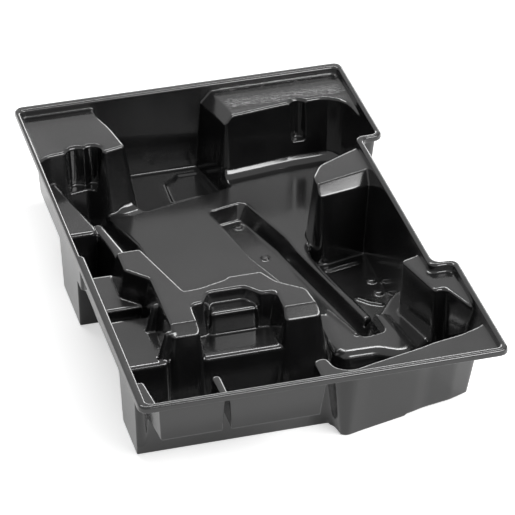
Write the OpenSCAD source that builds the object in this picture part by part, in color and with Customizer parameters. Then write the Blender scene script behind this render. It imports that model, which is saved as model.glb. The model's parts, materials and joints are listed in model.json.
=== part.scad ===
// Insert tray for a tool case: one thin sheet, drawn down into pockets
// under flat lands, with a turned rim all round.
//
// The tray is one form, made twice. The form is the hollow above the
// sheet: the well inside the rim, less the blocks that stand in it.
// Grown by the sheet's thickness it is the tray's underside, and as it
// stands it is cut away, so that an even sheet is left between the two.

/* [Rim] */
// Width of the tray over the rim, left to right
tray_w = 242; // [236:1:252]
// Length of the tray over the rim, front to back
tray_l = 376; // [370:1:390]
// Thickness of the plastic sheet
sheet = 1.2; // [0.9:0.1:1.6]
// Width of the flat rim along the sides
rim_side = 2.8; // [2:0.2:3.6]
// Width of the flat rim along the front
rim_front = 3.5; // [2.5:0.5:5]
// Width of the flat rim along the back
rim_back = 5; // [3:0.5:6]
// Height of the turned-down outer lip
lip_h = 4.6; // [3:0.2:6]
// Radius of the rim's outer corners
rim_r = 6; // [3:0.5:8]
// How far the notch reaches in from the right side
notch_d = 15.8; // [10:0.2:18]
// Front end of the notch, from the middle of the tray
notch_front = -80; // [-88:1:-74]
// Back end of the notch, from the middle of the tray
notch_back = 81.5; // [78:0.5:86]

/* [Depths below the rim] */
// Depth of the flat lands
land_d = 6; // [5:0.5:8]
// Depth of the three ledges along the left side
ledge_d = 27; // [22:1:32]
// Depth of the groove between the two front ledges
groove_d = 40; // [34:1:46]
// Depth of the small ledges in the flutes
flute_d = 37; // [32:1:42]
// Depth of the front shelf under the front rim
shelf_d = 30; // [24:1:34]
// Depth of the upper step of the middle recess
step_d = 15; // [12:1:20]
// Depth of the seat of the middle recess
seat_d = 31; // [28:1:36]
// Depth of the saddle between the left box and the channel
saddle_d = 30; // [28:1:38]
// Depth of the platform at the front of the trench
platform_d = 43; // [40:1:46]
// Depth of the low saddle to the right of the platform
low_saddle_d = 47; // [45:0.5:50]
// Depth of the main floor
floor_d = 53.5; // [51:0.5:57]
// Depth of the pockets beside the notch and in the front right corner
pocket_d = 63.5; // [61:0.5:65]
// Depth of the lowest floors and of the trench
trench_d = 64.8; // [64:0.2:68]

/* [Edges] */
// Radius of the lands' top edges
edge_r = 1.8; // [1:0.2:2.4]
// Radius of the ledges' front edges
ledge_r = 2.6; // [1.6:0.2:3.2]
// Radius of the wide fillets at the feet of the two back lands
foot_r = 10; // [7:0.5:11]
// Size of the slanted faces at the fronts of the lands
bevel = 6; // [4:0.5:7]
// Growth of the rim wall inwards for each mm of depth
rim_slope = 0.08; // [0.06:0.005:0.1]

/* [Hidden] */
// Height of the whole tray, from its lowest floor to the rim
tray_h = trench_d + sheet;
// Half sizes, used all over
hw = tray_w / 2;
hl = tray_l / 2;
// Radius of the turn from the rim down into the well
rim_turn = 1.5;
// How far a block runs out beyond the rim wall, and below the floors
beyond = 20;
below = trench_d + 6;
// Degrees of turn that one facet of a rounded corner takes
facet_turn = 24;

// Plan helpers. An outline is a list of corners [x, y, radius], taken
// anticlockwise, and grow moves each side outwards.
function plan(p) = [p.x, p.y];
function unit(v) = v / norm(v);
function side_normal(v) = [v.y, -v.x];
function bend(a, b, c) = cross(b - a, c - b);
function moved(a, b, c, grow) =
    let (n1 = side_normal(unit(b - a)), n2 = side_normal(unit(c - b)))
    b + grow * (n1 + n2) / (1 + n1 * n2);
function turn_angle(a, b, c) = acos(max(-1, min(1, unit(b - a) * unit(c - b))));
function corner_arc(c, i, grow) =
    let (
        n = len(c),
        p = [for (k = [-2:2]) plan(c[(i + k + 2 * n) % n])],
        a = moved(p[0], p[1], p[2], grow),
        b = moved(p[1], p[2], p[3], grow),
        d = moved(p[2], p[3], p[4], grow),
        turn = turn_angle(p[1], p[2], p[3]),
        out = bend(p[1], p[2], p[3]) > 0 ? 1 : -1,
        steps = max(1, ceil(turn / facet_turn)),
        wanted = max(0.3, c[i][2] + out * grow),
        reach = min(wanted * tan(turn / 2), 0.48 * norm(b - a), 0.48 * norm(d - b)),
        r = reach / tan(turn / 2),
        from = b + unit(a - b) * reach,
        hub = from + r * out * -side_normal(unit(b - a)),
        start = atan2(from.y - hub.y, from.x - hub.x)
    )
    c[i][2] == 0 ? [b] :
    [for (k = [0:steps]) hub + r * [cos(start + out * turn * k / steps),
                                    sin(start + out * turn * k / steps)]];
function outline(c, grow) = [for (i = [0:len(c) - 1]) each corner_arc(c, i, grow)];

// Faces of a stack of rings with n points each, closed at both ends
function ring_faces(rings, n) = concat(
    [[for (k = [n - 1:-1:0]) k]],
    [for (i = [0:rings - 2]) for (k = [0:n - 1])
        let (j = (k + 1) % n, u = i * n, v = u + n)
        each [[u + k, u + j, v + j], [u + k, v + j, v + k]]],
    [[for (k = [0:n - 1]) (rings - 1) * n + k]]
);

// Solid between outlines at falling heights: levels hold [grow, z] and
// lean shifts the outline sideways for each mm of depth below lean_z
module loft(c, levels, lean = [0, 0], lean_z = 0) {
    points = [for (l = levels) for (p = outline(c, l[0]))
        let (s = lean * max(0, lean_z - l[1]))
        [p.x + s.x, p.y + s.y, l[1]]];
    polyhedron(points, ring_faces(len(levels), len(points) / len(levels)), convexity = 10);
}

// Block standing in the well: outline at its top edge, at a depth below
// the rim, with a rounded top edge and walls that spread downwards
module block(c, depth, skin, slope = 0.06, edge = edge_r, lean = [0, 0]) {
    r = max(edge - skin, 0.4);
    top = -depth - skin;
    steps = edge > 4 ? 4 : 2;
    loft(c, concat(
        [for (k = [0:steps])
            let (a = 90 * k / steps)
            [-skin - r * (1 - sin(a)), top - r * (1 - cos(a))]],
        [[-skin + (below - depth) * slope, -below]]
    ), lean, -depth);
}

// Pocket cut into blocks: outline at its top edge, walls closing in
module pocket(c, top, depth, skin, slope, rise) {
    loft(c, [
        [skin + rise * slope, -top + rise],
        [skin - (depth - top) * slope, -depth - skin]
    ]);
}

// Slanted face cut along a land's edge; the outer side is to the right
module slant(from, to, skin) {
    past = 5;
    drop = skin * sqrt(2);
    out = side_normal(unit(to - from));
    section = [
        [-past - drop, -land_d + past],
        [bevel + past, -land_d - bevel - past - drop],
        [bevel + past, -land_d + past]
    ];
    points = [for (end = [from, to]) for (q = section)
        [end.x + out.x * q[0], end.y + out.y * q[0], q[1]]];
    polyhedron(points, [
        [2, 1, 0], [3, 4, 5], [4, 3, 0], [1, 4, 0], [5, 4, 1], [2, 5, 1], [3, 5, 2], [0, 3, 2]
    ]);
}

// Wide concave fillet at the foot of a wall, all along an outline that
// lies in the wall and meets a floor at the given depth
module foot_fillet(c, r, depth, skin) {
    steps = 4;
    loft(c, concat(
        [for (k = [0:steps])
            let (a = 90 * k / steps)
            [r - (r + skin) * cos(a), -depth + r - (r + skin) * sin(a)]],
        [[r, -below]]
    ));
}

// Upright flute cut in a wall from the land down to a small ledge
module flute(at, r, depth, skin, slope = 0.04) {
    flare = 1.4;
    translate([at.x, at.y, -depth - skin])
        cylinder(h = depth + skin + 2, r1 = r - depth * slope + skin, r2 = r + skin, $fn = 28);
    translate([at.x, at.y, -land_d - flare])
        cylinder(h = flare + 0.01, r1 = r + skin, r2 = r + skin + flare, $fn = 28);
}

// Upright rounded rib on a wall, wider at its foot; inward is the way
// from the rib's axis into the wall
module rib(top_at, foot_at, inward, r_top, r_foot, top, foot, skin) {
    hull()
        for (side = [[0, 0], inward]) {
            translate([top_at.x + side.x, top_at.y + side.y, -top - skin])
                sphere(r = r_top - skin * 0.5, $fn = 16);
            translate([foot_at.x + side.x, foot_at.y + side.y, -foot - skin - 1])
                cylinder(h = 1, r = r_foot - skin * 0.5, $fn = 16);
        }
}

// Low rounded ridge on a floor, along a path
module ridge(path, width, rise, depth) {
    hull()
        for (at = path)
            translate([at.x, at.y, -depth - 0.6])
                cylinder(h = rise + 0.6, r1 = width / 2 + 0.8, r2 = width / 2 - 0.6, $fn = 20);
}

// The well: everything inside the rim, down to the lowest floor
module well(skin) {
    side = hw - rim_side - rim_turn;
    left_back = side + 1;
    left_front = side - 1.5;
    front = hl - rim_front - rim_turn;
    back = hl - rim_back - rim_turn;
    notch_x = hw - notch_d - rim_side - rim_turn;
    jog = -10;
    notch_gap = rim_side + rim_turn;
    lean = [-0.045, -0.03];
    c = [
        [-left_front, -front, 3], [side, -front, 3],
        [side, notch_front - notch_gap, 4], [notch_x, notch_front - notch_gap, 6],
        [notch_x, notch_back + notch_gap, 5], [side, notch_back + notch_gap, 4],
        [side, back, 4], [-left_back, back, 4],
        [-left_back, jog, 1], [-left_front, jog - 1.5, 2]
    ];
    top = skin > 0
        ? [[skin, 0]]
        : [[rim_turn, 5], [rim_turn, 0], [rim_turn * 0.3, -rim_turn * 0.3]];
    loft(c, concat(top, [
        [skin, -rim_turn],
        [skin - trench_d * rim_slope, -trench_d - skin]
    ]), lean, -rim_turn);
}

// Flat rim with its turned-down outer lip
module rim() {
    c = [
        [-hw, -hl, rim_r], [hw, -hl, rim_r],
        [hw, notch_front, rim_r], [hw - notch_d, notch_front, rim_r],
        [hw - notch_d, notch_back, rim_r - 1], [hw, notch_back, rim_r + 1],
        [hw, hl, rim_r], [-hw, hl, rim_r]
    ];
    top_r = 1.2;
    difference() {
        loft(c, [
            [-top_r, 0], [-top_r * 0.3, -top_r * 0.3],
            [0, -top_r], [0.3, -lip_h]
        ]);
        loft(c, [[-sheet, -sheet], [-sheet + 0.3, -lip_h - 1]]);
    }
}

// Back left land with two flutes and its long right wall
module back_left_land(skin) {
    difference() {
        block([
            [-hw - beyond, 101, 0], [-109.5, 126.3, 8], [-99.2, 127.6, 2],
            [-80.5, 131.5, 4], [-69.4, 122, 2], [-54.3, 126.2, 2],
            [-59, 154, 60], [-65, 174, 20], [-62, hl + beyond, 0],
            [-hw - beyond, hl + beyond, 0]
        ], land_d, skin, 0.16, lean = [0, -0.04]);
        flute([-88.8, 125.2], 8.6, flute_d, skin);
        flute([-77.8, 126.8], 7, flute_d, skin);
    }
}

// Back right land: slanted left face, curved right end, one flute
module back_right_land(skin) {
    slant_back = [16.9, hl + beyond];
    slant_front = [29.3, 144];
    difference() {
        block([
            [22.9, 144.3, 1.5], [69.5, 150.7, 5], [101.5, 152, 16], [112.5, 141, 16],
            [115, 122, 20], [120, 98, 0], [hw + beyond, 98, 0],
            [hw + beyond, hl + beyond, 0], [9.2, hl + beyond, 0]
        ], land_d, skin, 0.12);
        slant(slant_back, slant_front + unit(slant_front - slant_back) * 12, skin);
        flute([78.5, 149], 6.5, flute_d, skin);
    }
}

// Land in the notch's corner, between the back right pocket and the front one
module notch_land(skin) {
    slant_left = [60.5, 41.2];
    slant_right = [100, 51.3];
    run = unit(slant_right - slant_left) * 12;
    difference() {
        block([
            [60.6, 35.2, 2], [hw, 49, 0], [hw, 90, 0],
            [89.6, 75.7, 25], [69, 65.5, 12], [60.8, 52, 12]
        ], land_d, skin, 0.12, lean = [0, -0.04]);
        slant(slant_left - run, slant_right + run, skin);
    }
}

// Narrow land along the right side, in front of the notch
module right_land(skin) {
    block([
        [87.4, -64, 3], [98, -104, 3], [105.5, -102.5, 5], [108.5, -110, 12],
        [122, -146, 0], [hw + beyond, -146, 0], [hw + beyond, -50, 0], [112, -56, 0]
    ], land_d, skin, 0.06, lean = [0.03, 0]);
}

// Front right land, with the divider that runs back from the front rim
module front_right_land(skin) {
    block([
        [-0.4, -hl - beyond, 0], [hw + beyond, -hl - beyond, 0], [hw + beyond, -131, 0],
        [112.5, -149.8, 12], [98.5, -155, 16], [79.5, -158.6, 20],
        [70.7, -161.5, 30], [34, -170.4, 60], [20, -174.4, 12], [11, -168.5, 8],
        [9, -157, 4.4], [-0.4, -157, 4.4]
    ], land_d, skin, 0.14, lean = [0, 0.04]);
}

// Divider in the front shelf
module front_divider(skin) {
    block([
        [-65.2, -hl - beyond, 0], [-60.8, -hl - beyond, 0],
        [-61.3, -157, 2.9], [-67.4, -157, 2.9]
    ], land_d, skin, 0.06);
}

// Land in the front left corner
module corner_land(skin) {
    block([
        [-hw - beyond, -hl - beyond, 0], [-103.9, -hl - beyond, 0],
        [-109.6, -151.2, 2.5], [-hw - beyond, -151.2, 0]
    ], land_d, skin, 0.05);
}

// The island: a high land with an arm to the back and a recess in its front
module island(skin) {
    left_x = -78.2;
    arm_x = -92.1;
    right_x = 21.4;
    recess_left = -59.2;
    recess_right = -2.2;
    front_y = -101.6;
    front_top = front_y + bevel;
    difference() {
        block([
            [left_x, front_y, 2], [recess_left - 1, front_y, 2],
            [recess_left, -77.5, 4], [-51, -76.5, 4], [-45, -66, 5],
            [-20.5, -66, 4], [-11.5, -76.3, 4], [recess_right, -76.3, 7],
            [recess_right, front_y, 2], [right_x, front_y, 2],
            [18.6, -78, 4], [1.8, -64.3, 4], [-4.8, -50.9, 3], [-28, -50.9, 3],
            [-31, -53.6, 3], [-50, -59, 20], [-59.6, -59.6, 2],
            [-75.4, -3.7, 2], [arm_x, -3.7, 2], [arm_x, -26, 3], [left_x, -40.5, 3]
        ], land_d, skin, 0.17, lean = [-0.02, 0.03]);
        slant([-90, front_top], [-50, front_top], skin);
        slant([-12, front_top], [40, front_top], skin);
    }
    for (y = [-66, -98.9])
        rib([-81, y], [-86, y - 3], [4, 0], 1.8, 2.8, land_d + 5, ledge_d, skin);
}

// Step and seat inside the island's recess
module recess_steps(skin) {
    block([
        [-47.5, -79, 2], [-14.5, -79, 2], [-20, -60, 0], [-41.5, -60, 0]
    ], step_d, skin, 0.08, edge = 1.6);
    block([
        [-60, -104.5, 4], [-1, -104.5, 4], [-1, -70, 0], [-60, -70, 0]
    ], seat_d, skin, 0.08, edge = ledge_r);
}

// Three ledges along the left side, with the groove between the front two
module left_ledges(skin) {
    back_edge = 2;
    groove_back = -40.3;
    groove_front = -51.7;
    front_edge = -108;
    block([
        [-hw - beyond, 54.5, 0], [-92.3, 54.5, 4], [-91, 62, 8], [-95.5, 82, 30],
        [-101, 106, 20], [-106, 126, 0], [-106, 150, 0], [-hw - beyond, 150, 0]
    ], ledge_d, skin, 0.06, edge = ledge_r);
    block([
        [-hw - beyond, groove_back, 0], [-82, groove_back, 0],
        [-86, back_edge, 3], [-hw - beyond, back_edge, 0]
    ], ledge_d, skin, 0.06);
    block([
        [-hw - beyond, front_edge, 0], [-82, front_edge, 4],
        [-76, groove_front, 0], [-hw - beyond, groove_front, 0]
    ], ledge_d, skin, 0.06, edge = ledge_r);
    block([
        [-hw - beyond, groove_front - 5, 0], [-74, groove_front - 5, 0],
        [-74, groove_back + 5, 0], [-hw - beyond, groove_back + 5, 0]
    ], groove_d, skin, 0.06);
    block([
        [-hw - beyond, groove_front - 5, 0], [-110.5, groove_front - 5, 0],
        [-110.5, groove_back + 5, 0], [-hw - beyond, groove_back + 5, 0]
    ], ledge_d + 1, skin, 0.06);
}

// Saddle between the left box and the channel beside it
module saddle(skin) {
    block([
        [-93, 70, 0], [-87, 34, 30], [-85, -12, 0],
        [-76, -12, 0], [-78, 34, 30], [-85, 70, 0]
    ], saddle_d, skin, 0.1, edge = 3);
}

// Shallow shelf behind the front rim
module front_shelf(skin) {
    block([
        [-hw - beyond, -hl - beyond, 0], [4, -hl - beyond, 0],
        [4, -157, 0], [-hw - beyond, -157, 0]
    ], shelf_d, skin, 0.3);
}

// Platform in front of the trench, with the low saddle to its right
module platform(skin) {
    roll_r = 7;
    block([
        [30.2, -100.7, 4], [36.2, -109, 6], [59.1, -109.7, 12], [73.5, -118.3, 12],
        [87.5, -112, 8], [79.5, -66, 3], [30.2, -52.8, 0]
    ], platform_d, skin, 0.2, edge = roll_r);
    block([
        [50, -108.8, 0], [61.6, -108.8, 14], [73.5, -118.3, 14], [88.9, -108.3, 8],
        [96.5, -101.3, 0], [110, -100, 0], [110, -39.4, 0], [92.5, -39.4, 0],
        [85.5, -46.4, 8], [77.5, -57.4, 8], [70.2, -66.4, 0], [50, -66.4, 0]
    ], low_saddle_d, skin, 0.2, edge = ledge_r);
}

// Main floor in the middle, with the thin divider beside the trench
module main_floor(skin) {
    block([
        [-71.5, 160, 0], [-71.5, 113.2, 10], [-69, 98.2, 8], [-59, 65.4, 30], [-61.5, 13.5, 0],
        [-61.5, -76.1, 0], [43.1, -101, 0], [58, -66.2, 0], [65, -58, 0], [71.3, -56.4, 2],
        [52.7, 24.5, 3], [52.3, 36.5, 12], [66, 56.4, 20], [78, 63.4, 0],
        [hw + beyond, 73, 0], [hw + beyond, hl + beyond, 0], [-71.5, hl + beyond, 0]
    ], floor_d, skin, 0.12, edge = 2);
}

// Base under all the pockets, with the back pocket and the trench let in
module deep_floor(skin) {
    difference() {
        union() {
            translate([0, 0, -below])
                linear_extrude(below - trench_d - skin)
                    square([tray_w + 2 * beyond, tray_l + 2 * beyond], center = true);
            right_floor(skin);
            main_floor(skin);
            platform(skin);
            foot_fillet([
                [-61, 117.4, 2], [-49.8, 120.3, 2], [-52.5, 138, 2], [-61, 138, 2]
            ], foot_r, floor_d, skin);
            foot_fillet([
                [21, 140, 2], [69.5, 146.5, 5], [100.3, 148, 14], [109, 139.6, 14],
                [112.2, 122, 20], [114.5, 70, 0], [hw + beyond, 70, 0],
                [hw + beyond, 170, 0], [21, 170, 2]
            ], foot_r, floor_d, skin);
        }
        back_pocket(skin);
        trench(skin);
    }
    if (skin == 0) nubs();
}

// Floor of the pocket beside the notch and of the front right pocket
module right_floor(skin) {
    block([
        [60, -hl - beyond, 0], [hw + beyond, -hl - beyond, 0],
        [hw + beyond, 90, 0], [46, 90, 0], [46, 0, 0], [66, -100, 0]
    ], pocket_d, skin, 0.3, edge = 1);
}

// Pocket between the back lands, behind the ridge of the main floor
module back_pocket(skin) {
    back_d = trench_d - 1.3;
    pocket([
        [-51, 119, 0], [-44.6, 111.2, 3], [-12.3, 119.2, 60], [22.7, 126.4, 2],
        [18.2, 145.1, 0], [12.4, hl, 0], [-55, hl, 0]
    ], floor_d, back_d, skin, 0.3, 12);
    pocket([
        [-19.5, 131.7, 2], [11.8, 137.6, 2], [7.6, 167, 2],
        [-7.1, 167, 2], [-11.1, 162.5, 3], [-18.8, 157.3, 3]
    ], back_d, trench_d, skin, 0.5, 2);
}

// Long narrow trench from the main floor into the platform
module trench(skin) {
    top_c = [
        [-1.7, 99.8, 3], [11.2, 35.5, 60], [54.6, -91.7, 3], [71.1, -88.7, 5], [69, -62.8, 0],
        [47.6, 26.5, 8], [43.8, 53.4, 30], [27.9, 103.2, 4], [22.2, 105.8, 3]
    ];
    foot_c = [
        [0.2, 94.6, 2], [13.2, 34, 50], [56.4, -88.3, 2], [66.9, -86, 3], [63.4, -68.1, 0],
        [42.5, 22.4, 8], [36, 51.3, 30], [22.4, 95.1, 2], [20.6, 99.1, 2]
    ];
    top_ring = outline(top_c, skin);
    points = concat(
        [for (p = top_ring) [p.x, p.y, -platform_d + 6]],
        [for (p = top_ring) [p.x, p.y, -floor_d + 3]],
        [for (p = outline(foot_c, skin)) [p.x, p.y, -trench_d - skin]]
    );
    polyhedron(points, ring_faces(3, len(top_ring)), convexity = 10);
}

// Small raised buttons and ridges on the deep floors
module nubs() {
    for (at = [[17.9, 90], [25.5, 47]])
        translate([at.x, at.y, -trench_d - 0.6])
            cylinder(h = 2.2, r1 = 3.6, r2 = 2.4, $fn = 24);
    for (at = [[88, -1.4], [88.5, -16.7]])
        translate([at.x, at.y, -pocket_d - 0.6])
            cylinder(h = 2.4, r1 = 3.8, r2 = 2.6, $fn = 24);
    ridge([[62.9, 19.2], [83.9, 23.6]], 4, 1.6, pocket_d);
    ridge([[72.6, -19.9], [78.9, -26.7]], 2.8, 1.4, pocket_d);
    ridge([[78.9, -26.7], [85.9, -30.8]], 2.8, 1.4, pocket_d);
    ridge([[39.8, -57], [50.2, -88.5]], 2.6, 1.4, platform_d);
}

// The hollow above the sheet, grown by skin
module hollow(skin) {
    difference() {
        well(skin);
        deep_floor(skin);
        left_ledges(skin);
        saddle(skin);
        front_shelf(skin);
        recess_steps(skin);
        island(skin);
        back_left_land(skin);
        back_right_land(skin);
        notch_land(skin);
        right_land(skin);
        front_right_land(skin);
        front_divider(skin);
        corner_land(skin);
    }
}

module tray() {
    color([0.06, 0.06, 0.065])
        translate([0, 0, tray_h])
            difference() {
                union() {
                    rim();
                    hollow(sheet);
                }
                hollow(0);
            }
}

tray();
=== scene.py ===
# %% [markdown]
# A drawn plastic tray for a tool case
#
# The object is one sheet of glossy black plastic, heated and drawn down over
# a mould. Everything on it is the same skin: flat lands, tall pockets, ledges,
# a long trench, and a rim turned down all round.
#
# The solid of the tray comes ready made from the CAD model. This lesson gives
# it what a bare solid lacks: soft moulded edges, a plastic that is glossy but
# not a mirror, a studio that shows its edges as bright lines, and the camera.

# %% Load the frame
import json
import math

import bpy
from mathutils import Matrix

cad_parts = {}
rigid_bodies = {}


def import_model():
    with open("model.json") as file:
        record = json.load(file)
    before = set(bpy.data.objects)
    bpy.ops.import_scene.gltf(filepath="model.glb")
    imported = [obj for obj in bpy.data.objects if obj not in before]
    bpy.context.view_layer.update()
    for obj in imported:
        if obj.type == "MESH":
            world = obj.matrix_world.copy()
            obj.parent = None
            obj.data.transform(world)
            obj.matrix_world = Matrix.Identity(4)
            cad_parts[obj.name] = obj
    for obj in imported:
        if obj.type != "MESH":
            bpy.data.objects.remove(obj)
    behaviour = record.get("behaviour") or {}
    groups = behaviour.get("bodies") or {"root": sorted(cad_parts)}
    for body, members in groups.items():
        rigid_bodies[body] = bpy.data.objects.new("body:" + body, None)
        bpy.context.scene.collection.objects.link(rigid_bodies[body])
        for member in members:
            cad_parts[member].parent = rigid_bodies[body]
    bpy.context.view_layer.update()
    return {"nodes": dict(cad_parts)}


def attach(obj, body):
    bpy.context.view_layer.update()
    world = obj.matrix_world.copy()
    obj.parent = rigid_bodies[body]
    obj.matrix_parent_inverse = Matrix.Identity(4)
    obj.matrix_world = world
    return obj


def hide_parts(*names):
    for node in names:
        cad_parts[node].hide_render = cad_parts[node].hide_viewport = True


MM = 0.001

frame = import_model()

# %% [markdown]
# The camera
#
# The picture was taken from above the front left corner with a long lens, so
# the tray's sides nearly keep their true slant. A short lens close by would
# frame the tray as well, but it would spread the near corner. Here a long lens
# stands a long way off. Its place was found from the corners of the rim, whose
# size is known, and its frame is shifted a little because the picture was
# cropped.

# %% Camera
CAMERA_PLACE = (-489.2 * MM, -1785.1 * MM, 1267.0 * MM)
CAMERA_TURN = -15.289
CAMERA_ELEVATION = 33.583
CAMERA_ROLL = 0.147
LENS_MM = 229.61
SENSOR_MM = 36.0
SHIFT_RIGHT = 0.0313
SHIFT_UP = -0.0031
NEAR = 0.1
FAR = 20.0

camera_data = bpy.data.cameras.new("camera")
camera_data.lens = LENS_MM
camera_data.sensor_width = SENSOR_MM
camera_data.shift_x = SHIFT_RIGHT
camera_data.shift_y = SHIFT_UP
camera_data.clip_start = NEAR
camera_data.clip_end = FAR
camera = bpy.data.objects.new("camera", camera_data)
camera.location = CAMERA_PLACE
camera.rotation_euler = (
    math.radians(90 - CAMERA_ELEVATION),
    math.radians(CAMERA_ROLL),
    math.radians(CAMERA_TURN),
)
bpy.context.scene.collection.objects.link(camera)
bpy.context.scene.camera = camera
print("camera at", [round(c, 3) for c in CAMERA_PLACE])

# %% [markdown]
# A working copy of the tray
#
# The CAD mesh is loose triangles: each has its own three points, so nothing can
# be smoothed across them. The tray could be modelled again from a plane, but
# the solid already has every form at its true size, so a copy of it is used.
# The copy is joined up by merging the points that lie together. The CAD object
# itself is left alone.


# %% Copy the tray and join its triangles
def only(obj):
    """Selects one object and makes it the active one."""
    bpy.ops.object.select_all(action="DESELECT")
    obj.select_set(True)
    bpy.context.view_layer.objects.active = obj


MERGE_MM = 0.004

only(frame["nodes"]["tray"])
bpy.ops.object.duplicate()
tray = bpy.context.view_layer.objects.active
tray.name = "drawn_tray"
bpy.ops.object.parent_clear(type="CLEAR_KEEP_TRANSFORM")
bpy.ops.object.transform_apply(location=True, rotation=True, scale=True)
bpy.ops.object.mode_set(mode="EDIT")
bpy.ops.mesh.select_all(action="SELECT")
bpy.ops.mesh.remove_doubles(threshold=MERGE_MM * MM)
bpy.ops.object.mode_set(mode="OBJECT")
print("tray copy", len(tray.data.vertices), "points", len(tray.data.polygons), "faces")

# %% [markdown]
# Soft corners
#
# A hot sheet drawn over a mould can't take a sharp corner: it bridges every
# inside corner and rolls over every edge, and those small rolls are what catch
# the light. Bevelling thousands of crossing edges one by one tears at the places
# where many meet, so the whole skin is rebuilt instead as an even grid of small
# faces. Relaxing the grid a few times rounds inside and outside corners alike
# and leaves the flats flat. The grid is then thinned out again, which takes
# faces from the flats, where they do nothing, and keeps them in the bends. The
# relaxing comes before the thinning, because between faces of very different
# sizes it would drag whole flats out of place. Weighted normals at the end keep
# the flats evenly lit right up to the rolls.


# %% Rebuild, relax and thin the skin
def applied(obj, kind, **settings):
    """Adds one modifier with its settings and applies it."""
    only(obj)
    modifier = obj.modifiers.new(kind.lower(), kind)
    for name, value in settings.items():
        setattr(modifier, name, value)
    bpy.ops.object.modifier_apply(modifier=modifier.name)
    print(kind, len(obj.data.polygons), "faces")


GRID_MM = 0.55
RELAX_TIMES = 14
RELAX_SHARE = 0.5
KEPT_FACES = 180000
FLAT_WEIGHT = 50

applied(tray, "REMESH", mode="VOXEL", voxel_size=GRID_MM * MM)
applied(tray, "SMOOTH", factor=RELAX_SHARE, iterations=RELAX_TIMES)
applied(tray, "TRIANGULATE")
applied(tray, "DECIMATE", ratio=KEPT_FACES / len(tray.data.polygons))
only(tray)
bpy.ops.object.shade_smooth()
applied(tray, "WEIGHTED_NORMAL", weight=FLAT_WEIGHT)

# %% [markdown]
# The plastic
#
# The sheet is black right through, with the even gloss of a rolled surface that
# has been stretched. Nearly all that the eye sees on it is reflection, so the
# colour stays close to black. One glossy layer would be either too sharp or too
# dull: the shader has a fairly soft base and a sharper coat over it, which gives
# bright lines at the edges with a faint haze round them. A slow noise lifts the
# black a little and changes the base's gloss, as where the sheet was drawn thin.


# %% Plastic material
def add_node(tree, kind, **inputs):
    """Adds a node and sets the named inputs."""
    node = tree.nodes.new(kind)
    for name, value in inputs.items():
        node.inputs[name.replace("_", " ")].default_value = value
    return node


BLACK = (0.004, 0.004, 0.0042, 1)
WORN = (0.009, 0.009, 0.0092, 1)
BLACK_UP_TO = 0.35
WORN_FROM = 0.75
GLOSS_LOW = 0.16
GLOSS_HIGH = 0.22
PLASTIC_IOR = 1.5
COAT = 0.8
COAT_ROUGHNESS = 0.12

plastic = bpy.data.materials.new("black_drawn_plastic")
plastic.use_nodes = True
tree = plastic.node_tree
shader = tree.nodes["Principled BSDF"]
shader.inputs["IOR"].default_value = PLASTIC_IOR
shader.inputs["Coat Weight"].default_value = COAT
shader.inputs["Coat Roughness"].default_value = COAT_ROUGHNESS
place = tree.nodes.new("ShaderNodeTexCoord")

clouds = add_node(tree, "ShaderNodeTexNoise", Scale=24.0, Detail=4.0, Roughness=0.55)
tree.links.new(place.outputs["Object"], clouds.inputs["Vector"])
shade = tree.nodes.new("ShaderNodeValToRGB")
shade.color_ramp.elements[0].position = BLACK_UP_TO
shade.color_ramp.elements[0].color = BLACK
shade.color_ramp.elements[1].position = WORN_FROM
shade.color_ramp.elements[1].color = WORN
tree.links.new(clouds.outputs["Fac"], shade.inputs["Fac"])
tree.links.new(shade.outputs["Color"], shader.inputs["Base Color"])

gloss = add_node(
    tree, "ShaderNodeMapRange", From_Min=0.3, From_Max=0.7, To_Min=GLOSS_LOW, To_Max=GLOSS_HIGH
)
tree.links.new(clouds.outputs["Fac"], gloss.inputs["Value"])
tree.links.new(gloss.outputs["Result"], shader.inputs["Roughness"])
print("gloss from", GLOSS_LOW, "to", GLOSS_HIGH)

# %% [markdown]
# Grain, waves and a mottled land
#
# Three bumps are laid over each other. The grain is the sheet's own rolled
# surface. The waves are the slight unevenness of a sheet pulled by hot air. The
# third is on the back right land only, where the sheet touched the mould late and
# kept a mottled print. It could have a material of its own, but then its border
# would be a hard line between faces. Ramps on the object's own coordinates, two
# for the plan and two for the height, let it fade out instead.


# %% Bumps
def ramp(tree, value, low, high):
    """A factor that rises from 0 to 1 between two values."""
    step = add_node(tree, "ShaderNodeMapRange", From_Min=low, From_Max=high, To_Min=0.0, To_Max=1.0)
    tree.links.new(value, step.inputs["Value"])
    return step.outputs["Result"]


def product(tree, first, second):
    """Two factors multiplied."""
    node = tree.nodes.new("ShaderNodeMath")
    node.operation = "MULTIPLY"
    tree.links.new(first, node.inputs[0])
    tree.links.new(second, node.inputs[1])
    return node.outputs[0]


LAND_LEFT = 26 * MM
LAND_FRONT = 152 * MM
LAND_LEVEL = 59 * MM
RIM_LEVEL = 61.5 * MM
RAMP = 4 * MM
STEEP_RAMP = 1 * MM

grain = add_node(tree, "ShaderNodeTexNoise", Scale=1600.0, Detail=2.0)
waves = add_node(tree, "ShaderNodeTexNoise", Scale=60.0, Detail=2.0)
mottle = add_node(tree, "ShaderNodeTexNoise", Scale=250.0, Detail=3.0, Distortion=1.2)
for noise in (grain, waves, mottle):
    tree.links.new(place.outputs["Object"], noise.inputs["Vector"])
axes = tree.nodes.new("ShaderNodeSeparateXYZ")
tree.links.new(place.outputs["Object"], axes.inputs["Vector"])
in_plan = product(
    tree,
    ramp(tree, axes.outputs["X"], LAND_LEFT, LAND_LEFT + RAMP),
    ramp(tree, axes.outputs["Y"], LAND_FRONT, LAND_FRONT + RAMP),
)
in_height = product(
    tree,
    ramp(tree, axes.outputs["Z"], LAND_LEVEL, LAND_LEVEL + STEEP_RAMP),
    ramp(tree, axes.outputs["Z"], RIM_LEVEL, RIM_LEVEL - STEEP_RAMP),
)
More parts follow.
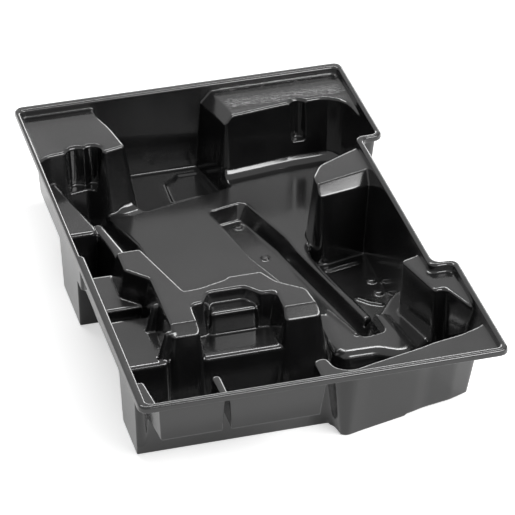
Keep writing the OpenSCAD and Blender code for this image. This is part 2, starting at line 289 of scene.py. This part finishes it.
print_height = product(tree, product(tree, in_plan, in_height), mottle.outputs["Fac"])

fine = add_node(tree, "ShaderNodeBump", Strength=0.06, Distance=0.0001)
tree.links.new(grain.outputs["Fac"], fine.inputs["Height"])
wide = add_node(tree, "ShaderNodeBump", Strength=0.1, Distance=0.0004)
tree.links.new(waves.outputs["Fac"], wide.inputs["Height"])
tree.links.new(fine.outputs["Normal"], wide.inputs["Normal"])
printed = add_node(tree, "ShaderNodeBump", Strength=0.6, Distance=0.001)
tree.links.new(print_height, printed.inputs["Height"])
tree.links.new(wide.outputs["Normal"], printed.inputs["Normal"])
tree.links.new(printed.outputs["Normal"], shader.inputs["Normal"])

tray.data.materials.clear()
tray.data.materials.append(plastic)
print("material", plastic.name)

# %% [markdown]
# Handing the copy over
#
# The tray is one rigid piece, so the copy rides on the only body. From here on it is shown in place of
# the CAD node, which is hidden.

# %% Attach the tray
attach(tray, "root")
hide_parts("tray")
print("attached", tray.name)

# %% [markdown]
# The floor
#
# A wide pale sheet under the tray. More light would turn it white, but it would
# wash out the tray too. Instead the sheet glows a little to the camera, so it
# reads as the white of a product picture, and less in the tray's reflections,
# where it fills the outer walls. It still takes the tray's soft shadow.


# %% Floor
def level_by_ray(tree, otherwise, to_camera, to_mirrors):
    """A strength that differs for what the camera sees and for what gloss mirrors."""
    ray = tree.nodes.new("ShaderNodeLightPath")
    mirrored = tree.nodes.new("ShaderNodeMath")
    mirrored.operation = "MULTIPLY_ADD"
    mirrored.inputs[1].default_value = to_mirrors - otherwise
    mirrored.inputs[2].default_value = otherwise
    tree.links.new(ray.outputs["Is Glossy Ray"], mirrored.inputs[0])
    level = tree.nodes.new("ShaderNodeMath")
    level.operation = "MULTIPLY_ADD"
    level.inputs[1].default_value = to_camera - otherwise
    tree.links.new(ray.outputs["Is Camera Ray"], level.inputs[0])
    tree.links.new(mirrored.outputs[0], level.inputs[2])
    return level.outputs[0]


FLOOR_SIZE = 8.0
FLOOR_LEVEL = -0.2 * MM
FLOOR_COLOUR = (0.86, 0.86, 0.86, 1)
WHITE = (1, 1, 1, 1)
GLOW_SEEN = 0.55
GLOW_MIRRORED = 0.15

bpy.ops.object.select_all(action="DESELECT")
bpy.ops.mesh.primitive_plane_add(size=FLOOR_SIZE, location=(0, 0, FLOOR_LEVEL))
floor = bpy.context.view_layer.objects.active
floor.name = "floor"
paper = bpy.data.materials.new("pale_floor")
paper.use_nodes = True
tree = paper.node_tree
tree.nodes.clear()
matt = add_node(tree, "ShaderNodeBsdfDiffuse", Color=FLOOR_COLOUR)
glow = add_node(tree, "ShaderNodeEmission", Color=WHITE)
tree.links.new(level_by_ray(tree, 0.0, GLOW_SEEN, GLOW_MIRRORED), glow.inputs["Strength"])
both = tree.nodes.new("ShaderNodeAddShader")
tree.links.new(matt.outputs[0], both.inputs[0])
tree.links.new(glow.outputs[0], both.inputs[1])
out = tree.nodes.new("ShaderNodeOutputMaterial")
tree.links.new(both.outputs[0], out.inputs["Surface"])
floor.data.materials.append(paper)
print("floor", FLOOR_SIZE, "m")

# %% [markdown]
# The surround
#
# Black plastic shows its shape by what it mirrors. A white surround fills the
# flat lands with grey. It is white to the camera, a little darker to the tray's
# gloss, and darker still as plain light, so that the deep pockets stay black. A
# grey picture of a studio would do as well, but this needs no file.

# %% Surround
SURROUND_SEEN = 1.0
SURROUND_MIRRORED = 0.66
SURROUND_FILL = 0.3

world = bpy.data.worlds.new("studio")
bpy.context.scene.world = world
world.use_nodes = True
tree = world.node_tree
tree.nodes.clear()
white = add_node(tree, "ShaderNodeBackground", Color=WHITE)
level = level_by_ray(tree, SURROUND_FILL, SURROUND_SEEN, SURROUND_MIRRORED)
tree.links.new(level, white.inputs["Strength"])
out = tree.nodes.new("ShaderNodeOutputWorld")
tree.links.new(white.outputs[0], out.inputs["Surface"])
print("surround", SURROUND_SEEN, "seen", SURROUND_FILL, "as fill")

# %% [markdown]
# The lamps
#
# Point lamps would leave small hard spots on the gloss, so all three are wide
# soft panels. One in front and to the right draws the bright line along each
# edge that faces it and lights the slants. A strip overhead, a little behind,
# draws the second, thinner line. A low panel at the back is mirrored by the
# lands near the rim and not by the deep floors, which keeps the two apart.


# %% Lamps
def soft_light(name, turn, elevation, distance, width, height, brightness):
    """Rectangular light aimed at the tray; turn is from the front towards the right."""
    data = bpy.data.lights.new(name, "AREA")
    data.shape = "RECTANGLE"
    data.size = width
    data.size_y = height
    data.energy = brightness * math.pi * width * height
    light = bpy.data.objects.new(name, data)
    a = math.radians(turn)
    e = math.radians(elevation)
    light.location = (
        distance * math.cos(e) * math.sin(a),
        -distance * math.cos(e) * math.cos(a),
        distance * math.sin(e),
    )
    light.rotation_euler = (math.pi / 2 - e, 0, a)
    bpy.context.scene.collection.objects.link(light)
    print(name, "at", [round(c, 2) for c in light.location])


soft_light("front_softbox", turn=38, elevation=38, distance=1.9, width=1.5, height=0.62, brightness=10.0)
soft_light("overhead_strip", turn=0, elevation=116, distance=1.7, width=1.6, height=0.22, brightness=14.0)
soft_light("low_back_light", turn=165, elevation=16, distance=1.9, width=2.2, height=0.4, brightness=5.5)

# %% [markdown]
# Plain colours
#
# The plain view setting shows each colour as it is written. Relaxing the skin draws the tray in by no
# more than a fraction of a millimetre.

# %% Look settings
bpy.context.scene.view_settings.view_transform = "Standard"
